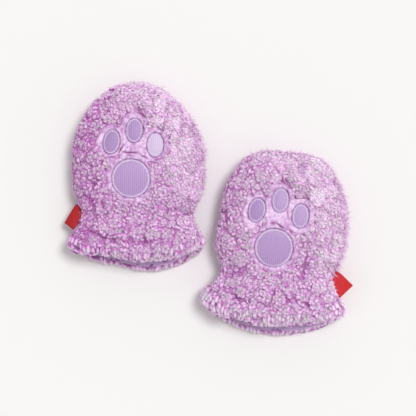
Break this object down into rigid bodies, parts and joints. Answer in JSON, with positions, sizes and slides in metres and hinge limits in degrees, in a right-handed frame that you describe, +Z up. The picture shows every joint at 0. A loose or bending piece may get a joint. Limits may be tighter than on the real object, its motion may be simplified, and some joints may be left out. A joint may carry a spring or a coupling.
{
  "type": "pair of baby mittens",
  "caption": "Pair of curly fleece baby mittens with a fabric paw on each front, lined, drawn in at the wrist and open at a flared cuff, laid flat.",
  "frame": {"origin": "centre of the pair's outline on the surface that it lies on", "axes": "+Z up from the surface, +Y towards the finger ends, +X to the right with the paws up"},
  "size_m": [0.1906, 0.1678, 0.0325],
  "materials": {
    "fleece": "curly pile fleece, lilac",
    "lining": "smooth knit, lavender",
    "paw_cloth": "fine ribbed satin, lavender",
    "label": "woven tape, red"
  },
  "bodies": {
    "root": {"left_front": "fleece", "left_back": "fleece", "left_lining_front": "lining", "left_lining_back": "lining", "left_pad": "paw_cloth", "left_toe_1": "paw_cloth", "left_toe_2": "paw_cloth", "left_toe_3": "paw_cloth", "left_label": "label", "right_front": "fleece", "right_back": "fleece", "right_lining_front": "lining", "right_lining_back": "lining", "right_pad": "paw_cloth", "right_toe_1": "paw_cloth", "right_toe_2": "paw_cloth", "right_toe_3": "paw_cloth", "right_label": "label"}
  },
  "joints": []
}
